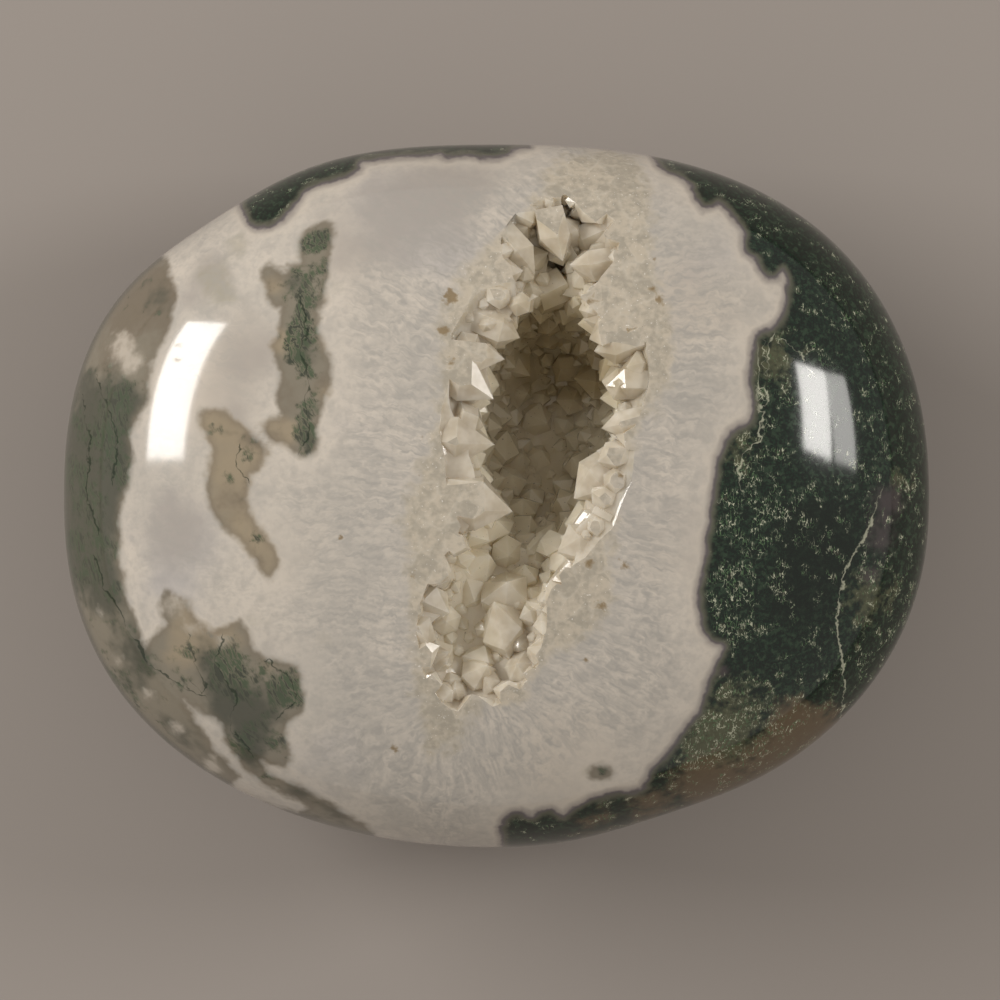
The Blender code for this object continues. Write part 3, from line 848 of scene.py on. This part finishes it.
class Graph:
    """Adds nodes to a material. Most methods return an output socket; inputs are sockets or values."""

    def __init__(self, name):
        self.material = bpy.data.materials.new(name)
        self.material.use_nodes = True
        self.tree = self.material.node_tree
        self.shader = self.tree.nodes["Principled BSDF"]
        self.place = self.vector("SCALE", self.add("TexCoord", {}, "Object"), scale=1.0 / MM)
        self.shared = {}

    def feed(self, socket, value):
        if isinstance(value, bpy.types.NodeSocket):
            self.tree.links.new(value, socket)
        elif isinstance(value, tuple) and len(value) == 3 and socket.type == "RGBA":
            socket.default_value = (*value, 1.0)
        else:
            socket.default_value = value

    def add(self, kind, inputs, output=0, **settings):
        made = self.tree.nodes.new("ShaderNode" + kind)
        for key, value in settings.items():
            setattr(made, key, value)
        for key, value in inputs.items():
            self.feed(made.inputs[key], value)
        return made.outputs[output]

    def math(self, operation, first, second=0.0):
        return self.add("Math", {0: first, 1: second}, operation=operation)

    def vector(self, operation, first, second=(0.0, 0.0, 0.0), scale=1.0):
        inputs = {0: first, "Scale": scale} if operation == "SCALE" else {0: first, 1: second}
        return self.add("VectorMath", inputs, operation=operation)

    def guide(self, name):
        return self.add("Attribute", {}, "Fac", attribute_name=name)

    def direction(self, name):
        return self.add("Attribute", {}, "Vector", attribute_name=name)

    def noise(self, size, place=None):
        """Noise from 0 to 1 whose lumps are about size millimetres. Equal calls share one node."""
        key = (size, place)
        if key not in self.shared:
            inputs = {"Vector": place or self.place, "Scale": 1.0 / size}
            settings = {"Detail": NOISE_DETAIL, "Roughness": NOISE_ROUGHNESS}
            self.shared[key] = self.add("TexNoise", {**inputs, **settings}, "Fac")
        return self.shared[key]

    def ridge(self, noise, width):
        """1 along the lines where a noise passes its middle value, 0 beyond a width."""
        return self.rise(self.math("ABSOLUTE", self.math("SUBTRACT", noise, 0.5)), width, width * 0.3)

    def wandering(self, place):
        """A place moved by noise, in millimetres."""
        if "wander" not in self.shared:
            parts = {0: self.noise(BROAD), 1: self.noise(MIDDLE), 2: self.noise(COARSE)}
            moved = self.vector("SCALE", self.add("CombineXYZ", parts), scale=WANDER_STRENGTH)
            self.shared["wander"] = moved
        return self.vector("ADD", place, self.shared["wander"])

    def rise(self, value, low, high):
        """0 below low and 1 above high; low may be the greater."""
        inputs = {"Value": value, "From Min": low, "From Max": high}
        return self.add("MapRange", inputs, interpolation_type="SMOOTHSTEP")

    def blend(self, share, first, second):
        inputs = {0: share, 6: first, 7: second}
        return self.add("Mix", inputs, 2, data_type="RGBA", blend_type="MIX", clamp_factor=True)

    def tint(self, colour, other, *shares):
        """A colour with another blended in, by the product of shares."""
        return self.blend(self.times(*shares), colour, other)

    def soft(self, name, low, high, *sways):
        """A guide's rise from low to high, with an edge that sways by strengths and sizes."""
        return self.rise(self.plus(self.guide(name), *(self.sway(*sway) for sway in sways)), low, high)

    def tints(self, colour, rows):
        """A colour with a table's tints blended in, one after another."""
        for name, low, high, sways, share, other in rows:
            colour = self.tint(colour, other, self.soft(name, low, high, *sways), share)
        return colour

    def sway(self, strength, size):
        """Noise from about -strength to strength."""
        return self.math("MULTIPLY", self.math("SUBTRACT", self.noise(size), 0.5), 2.0 * strength)

    def plus(self, *values):
        total = values[0]
        for value in values[1:]:
            total = self.math("ADD", total, value)
        return total

    def times(self, *values):
        total = values[0]
        for value in values[1:]:
            total = self.math("MULTIPLY", total, value)
        return total

    def line(self, name, width, sway):
        """1 on a guide's thin lines, 0 beyond a width; they sway a little and thin out here and there."""
        offset = self.math("ABSOLUTE", self.plus(self.guide(name + "_side"), sway))
        thin = self.times(self.rise(self.noise(MIDDLE), 0.35, 0.60), width)
        near = self.rise(self.guide(name), 0.7, 0.4)
        return self.times(self.rise(self.math("SUBTRACT", offset, thin), 0.06, -0.06), near)

    def finished(self, values):
        """The material, once its shader has its values."""
        for key, value in values.items():
            self.feed(self.shader.inputs[key], value)
        return self.material


WHITE_CLOUD = (0.60, 0.545, 0.475)
GREY_CLOUD = (0.375, 0.355, 0.325)
DIM_CLOUD = (0.365, 0.33, 0.30)
BLUE_CLOUD = (0.40, 0.385, 0.395)
WARM_CLOUD = (0.57, 0.51, 0.435)
VEIL = (0.36, 0.33, 0.25)
STAIN = (0.20, 0.13, 0.045)
GREEN_DEEP = (0.002, 0.007, 0.004)
GREEN_DARK = (0.006, 0.024, 0.012)
GREEN_MID = (0.032, 0.064, 0.034)
GREEN_VIVID = (0.013, 0.052, 0.012)
GREEN_STROKE = (0.004, 0.015, 0.004)
GREEN_FLECK = (0.09, 0.16, 0.075)
CREAM_FLECK = (0.56, 0.57, 0.43)
OLIVE = (0.105, 0.105, 0.056)
OLIVE_MID = (0.048, 0.066, 0.028)
RIM_GREEN = (0.105, 0.105, 0.075)
PURPLE_GREY = (0.115, 0.10, 0.105)
DARK_PURPLE = (0.060, 0.048, 0.050)
BEIGE = (0.31, 0.25, 0.165)
GREY_BEIGE = (0.195, 0.172, 0.128)
BROWN_GREY = (0.145, 0.115, 0.078)
SMOKE = (0.040, 0.044, 0.028)
UMBER = (0.130, 0.090, 0.052)
GRAIN_GREY = (0.36, 0.325, 0.26)
GRAIN_WHITE = (0.54, 0.475, 0.375)
SEAM = (0.60, 0.55, 0.46)
# painted glint: near-white specks that stand in for highlights
PAINTED_GLINT = (0.85, 0.82, 0.76)
QUARTZ_CREAM = (0.58, 0.51, 0.40)
QUARTZ_WHITE = (0.74, 0.68, 0.58)
# painted light: a lighter colour for deeper crystals, making up for the shade in the vug
QUARTZ_PAINTED_LIGHT = (0.87, 0.79, 0.62)
# painted shade: a dark brown for crystals where the vug lies in shade
QUARTZ_PAINTED_SHADE = (0.50, 0.41, 0.25)
DARK_SPECK = (0.05, 0.03, 0.015)
# Soft tints: guide, where it starts and is full, sways of its edge (strength and size), share and colour
WHITE_TINTS = (
    # milky tint, partly painted light low on the face
    ("milky", 0.1, 0.9, ((0.3, COARSE),), 1.0, WARM_CLOUD),
    ("bluish", 0.1, 0.9, ((0.4, COARSE),), 0.55, BLUE_CLOUD),
    ("dim", 0.1, 0.9, ((0.4, COARSE),), 0.75, DIM_CLOUD),
    ("veil", 0.1, 0.7, ((0.3, MIDDLE),), 0.7, VEIL),
)
MOSS_TINTS = (
    ("olive", 0.25, 1.0, ((0.9, MIDDLE), (0.6, FINE)), 0.7, OLIVE),
    ("depths", 0.1, 0.8, ((0.6, COARSE),), 0.7, GREEN_DEEP),
    ("brown", 0.2, 0.9, ((0.7, MIDDLE),), 0.85, UMBER),
    ("purple", 0.1, 0.8, ((0.5, MIDDLE), (0.2, FINE)), 0.85, DARK_PURPLE),
)
AGATE = {
    "IOR": 1.54,
    "Subsurface Weight": 0.04,
    "Subsurface Radius": (1.0, 0.85, 0.7),
    "Subsurface Scale": 1.0 * MM,
}
POLISH = 0.06
QUARTZ = {
    "Roughness": 0.11,
    "IOR": 1.544,
    "Transmission Weight": 0.12,
    "Subsurface Weight": 0.60,
    "Subsurface Radius": (1.0, 0.92, 0.8),
    "Subsurface Scale": 2.4 * MM,
}
FLOOR = {"Base Color": (0.33, 0.298, 0.275), "Roughness": 0.9, "Specular IOR Level": 0.1}


def white_field(g):
    """White to grey chalcedony with feathery streaks that run outwards from the vug."""
    fibres = g.wandering(g.vector("MULTIPLY", g.direction("fibres"), FEATHER_STRETCH))
    streak = g.rise(g.noise(FEATHER, fibres), 0.30, 0.78)
    calm = g.rise(g.math("MINIMUM", g.guide("mossy"), g.guide("smoky")), 0.4, 3.5)
    near = g.rise(g.guide("crust_line"), 14.0, 1.0)
    colour = WHITE_CLOUD
    for size, low, share in ((BROAD, 0.35, 0.35), (MIDDLE, 0.42, 0.40), (FINE, 0.42, 0.28)):
        colour = g.tint(colour, GREY_CLOUD, g.rise(g.noise(size), low, 0.7), share)
    # the tints include painted light on the lower part of the face
    colour = g.tints(colour, WHITE_TINTS)
    return g.tint(colour, GREY_CLOUD, streak, g.plus(0.60, g.times(near, 0.35)), calm)


def crust_ring(g, colour):
    """Crystals cut flush by the polish, seen end on: pale grains with whiter seams and stains, and white
    specks that are painted glints.
    """
    cells = {"Vector": g.wandering(g.place), "Scale": GRAIN_SCALE}
    shades = g.add("SeparateColor", {0: g.add("TexVoronoi", cells, "Color", feature="F1")})
    edges = g.add("TexVoronoi", cells, "Distance", feature="DISTANCE_TO_EDGE")
    tone = g.plus(g.times(shades, 0.5), 0.25, g.sway(0.9, FINE), g.sway(0.7, MIDDLE))
    grain = g.blend(g.rise(tone, 0.0, 1.0), GRAIN_GREY, GRAIN_WHITE)
    grain = g.tint(grain, SEAM, g.rise(edges, 0.12, 0.0), g.rise(g.noise(MIDDLE), 0.35, 0.65), 0.45)
    # painted glints: tiny white specks stand in for highlights on the cut grains
    grain = g.tint(grain, PAINTED_GLINT, g.rise(g.noise(SPECK), 0.68, 0.72), 0.8)
    colour = g.tint(colour, grain, g.soft("crust_line", 0.7, -0.7, (1.6, MIDDLE)), 0.85)
    return g.tint(colour, STAIN, stain_share(g), 0.8)


def stain_share(g):
    return g.soft("stains", 0.40, 0.80, (0.7, FINE))


def moss_body(g):
    """Dark green moss: fine texture, pale worm-like flecks and cream threads."""
    fine, speck = g.noise(FINE), g.noise(SPECK)
    colour = g.blend(g.rise(speck, 0.42, 0.68), GREEN_DEEP, GREEN_DARK)
    colour = g.tint(colour, GREEN_MID, g.rise(fine, 0.48, 0.68), 0.6)
    colour = g.tints(colour, MOSS_TINTS)
    amount = g.math("MINIMUM", g.plus(g.times(g.guide("flecks"), 0.8), 0.36), 1.0)
    limit = g.math("SUBTRACT", 0.66, g.times(amount, 0.22))
    gate = g.rise(g.math("SUBTRACT", g.noise(MIDDLE), limit), -0.05, 0.08)
    worms = g.noise(WORM, g.vector("MULTIPLY", g.wandering(g.place), WORM_STRETCH))
    lines = g.math("MAXIMUM", g.ridge(worms, 0.030), g.rise(speck, 0.64, 0.70))
    tone = g.blend(g.rise(fine, 0.46, 0.60), GREEN_FLECK, CREAM_FLECK)
    colour = g.tint(colour, tone, gate, lines, 0.9)
    threads = g.line("threads", 0.09, g.plus(g.sway(0.3, FINE), g.sway(0.4, MIDDLE)))
    return g.tint(colour, CREAM_FLECK, threads, 0.6)


def smoky_body(g, edge):
    """Translucent beige to brown chalcedony with clumps of green moss and fine dark strokes in it, and
    painted shade along the stone's outline.
    """
    warm = g.soft("warm", 0.1, 0.7, (0.5, COARSE))
    shade = g.soft("shade", 0.15, 0.9, (0.7, COARSE), (0.4, MIDDLE))
    clump = g.soft("green", 0.20, 0.80, (0.9, MIDDLE), (0.5, FINE))
    place = g.wandering(g.place)
    turned = g.add("VectorRotate", {"Vector": place, "Angle": STROKE_TURN}, rotation_type="Z_AXIS")
    strokes = g.noise(STROKE, g.vector("MULTIPLY", turned, STROKE_STRETCH))
    body = g.blend(g.plus(g.times(warm, 0.9), g.sway(0.35, MIDDLE)), GREY_BEIGE, BEIGE)
    body = g.tint(body, BROWN_GREY, g.soft("brown", 0.1, 0.8, (0.5, MIDDLE)), 0.8)
    body = g.tint(body, SMOKE, shade, 0.9)
    body = g.tint(body, BROWN_GREY, g.rise(edge, -0.9, -0.1), g.rise(edge, 0.3, -0.3), 0.45)
    # painted shade: darker towards the stone's outline, standing in for the dark edge its reflections give
    # it
    body = g.tint(body, SMOKE, g.rise(g.guide("rim"), 0.9, 0.2), 0.8)
    body = g.tint(body, OLIVE_MID, clump, 0.60)
    body = g.tint(body, GREEN_VIVID, clump, g.rise(strokes, 0.50, 0.44), 0.75)
    body = g.tint(body, GREEN_STROKE, clump, g.rise(strokes, 0.53, 0.58), 0.90)
    # painted shade in part: the shade spots darken the colour once more, most on the steep left flank
    return g.tint(body, SMOKE, shade, 0.35)


def agate_colour(g, area):
    """The stone's colour: the white field, the crust's ring, and the smoky and mossy parts over them."""
    if area == "moss":
        return moss_body(g)
    colour = white_field(g)
    if area == "ring":
        return crust_ring(g, colour)
    if area == "whole":
        colour = crust_ring(g, colour)
    ragged = g.plus(g.sway(0.6, MIDDLE), g.sway(0.12, FINE))
    edge = g.plus(g.guide("smoky"), ragged)
    colour = g.tint(colour, smoky_body(g, edge), g.rise(edge, 0.40, -0.35), 0.92)
    pale = g.soft("pale_patch", 0.2, 0.9, (0.5, MIDDLE), (0.2, FINE))
    colour = g.tint(colour, WARM_CLOUD, pale, 0.75)
    dark_line = g.line("dark_lines", 0.10, g.plus(g.sway(0.16, FINE), g.sway(0.7, MIDDLE)))
    colour = g.tint(colour, GREEN_STROKE, dark_line, 0.75)
    if area == "smoke":
        return colour

    edge = g.plus(g.guide("mossy"), g.times(ragged, 0.6))
    colour = g.tint(colour, WARM_CLOUD, g.rise(edge, 1.3, 0.3), 0.45)
    colour = g.tint(colour, PURPLE_GREY, g.rise(edge, 0.60, 0.1), 0.45)
    rim = g.blend(g.rise(edge, -0.05, -0.45), PURPLE_GREY, RIM_GREEN)
    body = g.blend(g.rise(edge, -0.25, -0.85), rim, moss_body(g))
    return g.blend(g.rise(edge, 0.15, -0.15), colour, body)


def agate_material(area):
    """Polished chalcedony. An area's material leaves out what can't reach that area."""
    g = Graph("polished_moss_agate_" + area)
    roughness = g.plus(POLISH, g.times(g.noise(FINE), 0.05), g.times(stain_share(g), 0.4))
    return g.finished({"Base Color": agate_colour(g, area), "Roughness": roughness, **AGATE})


def quartz_material():
    """Milky quartz crystals: painted light makes them lighter and yellower deeper in the vug, and painted
    shade darker and browner over the deep hall and the slit; deeper down they have dark specks.
    """
    g = Graph("milky_quartz_crystal")
    colour = g.blend(g.rise(g.noise(MIDDLE), 0.3, 0.75), QUARTZ_CREAM, QUARTZ_WHITE)
    painted_light_share = g.soft("depth", 1.0, 5.0, (2.0, COARSE))
    # painted shade over the deepest, darkest parts of the vug
    gloom = g.soft("gloom", 0.0, 0.9, (0.4, COARSE))
    colour = g.tint(colour, QUARTZ_PAINTED_SHADE, gloom, 0.35)
    # painted light deeper down, except under the painted shade
    colour = g.tint(colour, g.blend(gloom, QUARTZ_PAINTED_LIGHT, QUARTZ_PAINTED_SHADE), painted_light_share, 0.9)
    colour = g.tint(colour, STAIN, stain_share(g), 0.7)
    specks = g.times(g.rise(g.noise(SPECK), 0.70, 0.74), g.rise(g.guide("depth"), 2.0, 5.0))
    colour = g.tint(colour, DARK_SPECK, specks, 0.8)
    return g.finished({"Base Color": colour, **QUARTZ})


# The pieces

AREAS = ("whole", "moss", "ring", "smoke")
# How far from an outline, in millimetres, its edge is no longer seen
EDGE_REACH = 2.2


def area_of_polygons(mesh):
    """Which of the areas each polygon belongs to, as an index."""
    guides = {name: array_of(mesh.attributes[name].data, "value") for name in OUTLINES}
    starts = array_of(mesh.polygons, "loop_start").astype(int)
    corners = array_of(mesh.loops, "vertex_index").astype(int)
    least = {name: np.minimum.reduceat(values[corners], starts) for name, values in guides.items()}
    greatest = {name: np.maximum.reduceat(values[corners], starts) for name, values in guides.items()}
    area = np.zeros(len(starts), np.int32)
    no_moss, no_smoke = least["mossy"] > EDGE_REACH, least["smoky"] > EDGE_REACH
    area[no_moss & (least["crust_line"] > EDGE_REACH)] = AREAS.index("smoke")
    area[no_moss & no_smoke] = AREAS.index("ring")
    area[greatest["mossy"] < -EDGE_REACH] = AREAS.index("moss")
    return area


stone = build_stone()
crust = build_crust()
agates = [agate_material(area) for area in AREAS]
quartz = quartz_material()
for piece, node, slot in ((stone, "moss_agate", "polished_agate"), (crust, "crystal_crust", "milky_quartz")):
    mark(piece)
    polished = set_normals(piece)
    piece.data.materials.clear()
    for material in (*agates, quartz):
        piece.data.materials.append(material)
    area = area_of_polygons(piece.data)
    if piece is crust:
        area[~polished] = len(AREAS)
    piece.data.polygons.foreach_set("material_index", area)
    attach(piece, "root")
    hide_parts(node)

# Floor and light

FLOOR_CORNERS = ((-2.0, -2.0, 0), (2.0, -2.0, 0), (2.0, 2.0, 0), (-2.0, 2.0, 0))
floor = mesh_object("floor", FLOOR_CORNERS, [(0, 1, 2, 3)])
floor.data.materials.append(Graph("pale_floor").finished(FLOOR))

# The windows: the pixels, corner by corner, where their reflections lie on the stone, and power in watts
WINDOWS = {
    "left_window": (((190, 324), (232, 322), (180, 462), (143, 455)), 2.0),
    "right_window": (((791, 364), (816, 368), (838, 466), (808, 446)), 0.75),
    "right_curtain": (((817, 368), (842, 380), (859, 464), (839, 467)), 0.32),
}
WINDOW_DISTANCE = 0.55
WINDOW_COLOUR = (1.0, 0.97, 0.93)
ROOM_COLOUR = (1.0, 0.94, 0.87, 1.0)
ROOM_STRENGTH = 0.455
NEAREST_SEEN = 0.01


def reflected(pixel):
    """Where the camera's ray through a pixel goes after it meets the polished face."""
    plan = plan_of((pixel,))[0] * MM
    spot = np.array([plan[0], plan[1], float(face_height(*plan))])
    eye = np.array([*CAMERA_PLACE, GIRDLE_HEIGHT + CAMERA_RISE])
    ray = (spot - eye) / np.linalg.norm(spot - eye)
    normal = stone_normals(spot[None])[0]
    return Vector(spot + WINDOW_DISTANCE * (ray - 2.0 * (ray @ normal) * normal))


def window_light(name, pixels, power):
    """A softbox that the polished face reflects at the given corners."""
    corners = [reflected(pixel) for pixel in pixels]
    middle = sum(corners, Vector()) / 4
    across = ((corners[1] + corners[2]) - (corners[0] + corners[3])) / 2
    along = ((corners[0] + corners[1]) - (corners[3] + corners[2])) / 2
    inward = (Vector((0.0, 0.0, GIRDLE_HEIGHT)) - middle).normalized()
    right = (across - inward * across.dot(inward)).normalized()
    light = bpy.data.lights.new(name, "AREA")
    light.shape = "RECTANGLE"
    light.size, light.size_y = across.length, along.length
    light.energy = power
    light.color = WINDOW_COLOUR
    obj = linked(name, light)
    back = -inward
    axes = Matrix((right, back.cross(right), back)).transposed().to_4x4()
    obj.matrix_world = Matrix.Translation(middle) @ axes
    obj.visible_camera = False


for name, (pixels, power) in WINDOWS.items():
    window_light(name, pixels, power)

world = bpy.data.worlds.new("soft_room")
bpy.context.scene.world = world
world.use_nodes = True
background = world.node_tree.nodes["Background"].inputs
background["Color"].default_value = ROOM_COLOUR
background["Strength"].default_value = ROOM_STRENGTH
bpy.context.scene.view_settings.view_transform = "Standard"

camera = linked("camera", bpy.data.cameras.new("camera"))
camera.location = (*CAMERA_PLACE, GIRDLE_HEIGHT + CAMERA_RISE)
camera.data.sensor_width = SENSOR
camera.data.lens = SENSOR * CAMERA_RISE / FRAME_WIDTH
camera.data.clip_start = NEAREST_SEEN
bpy.context.scene.camera = camera
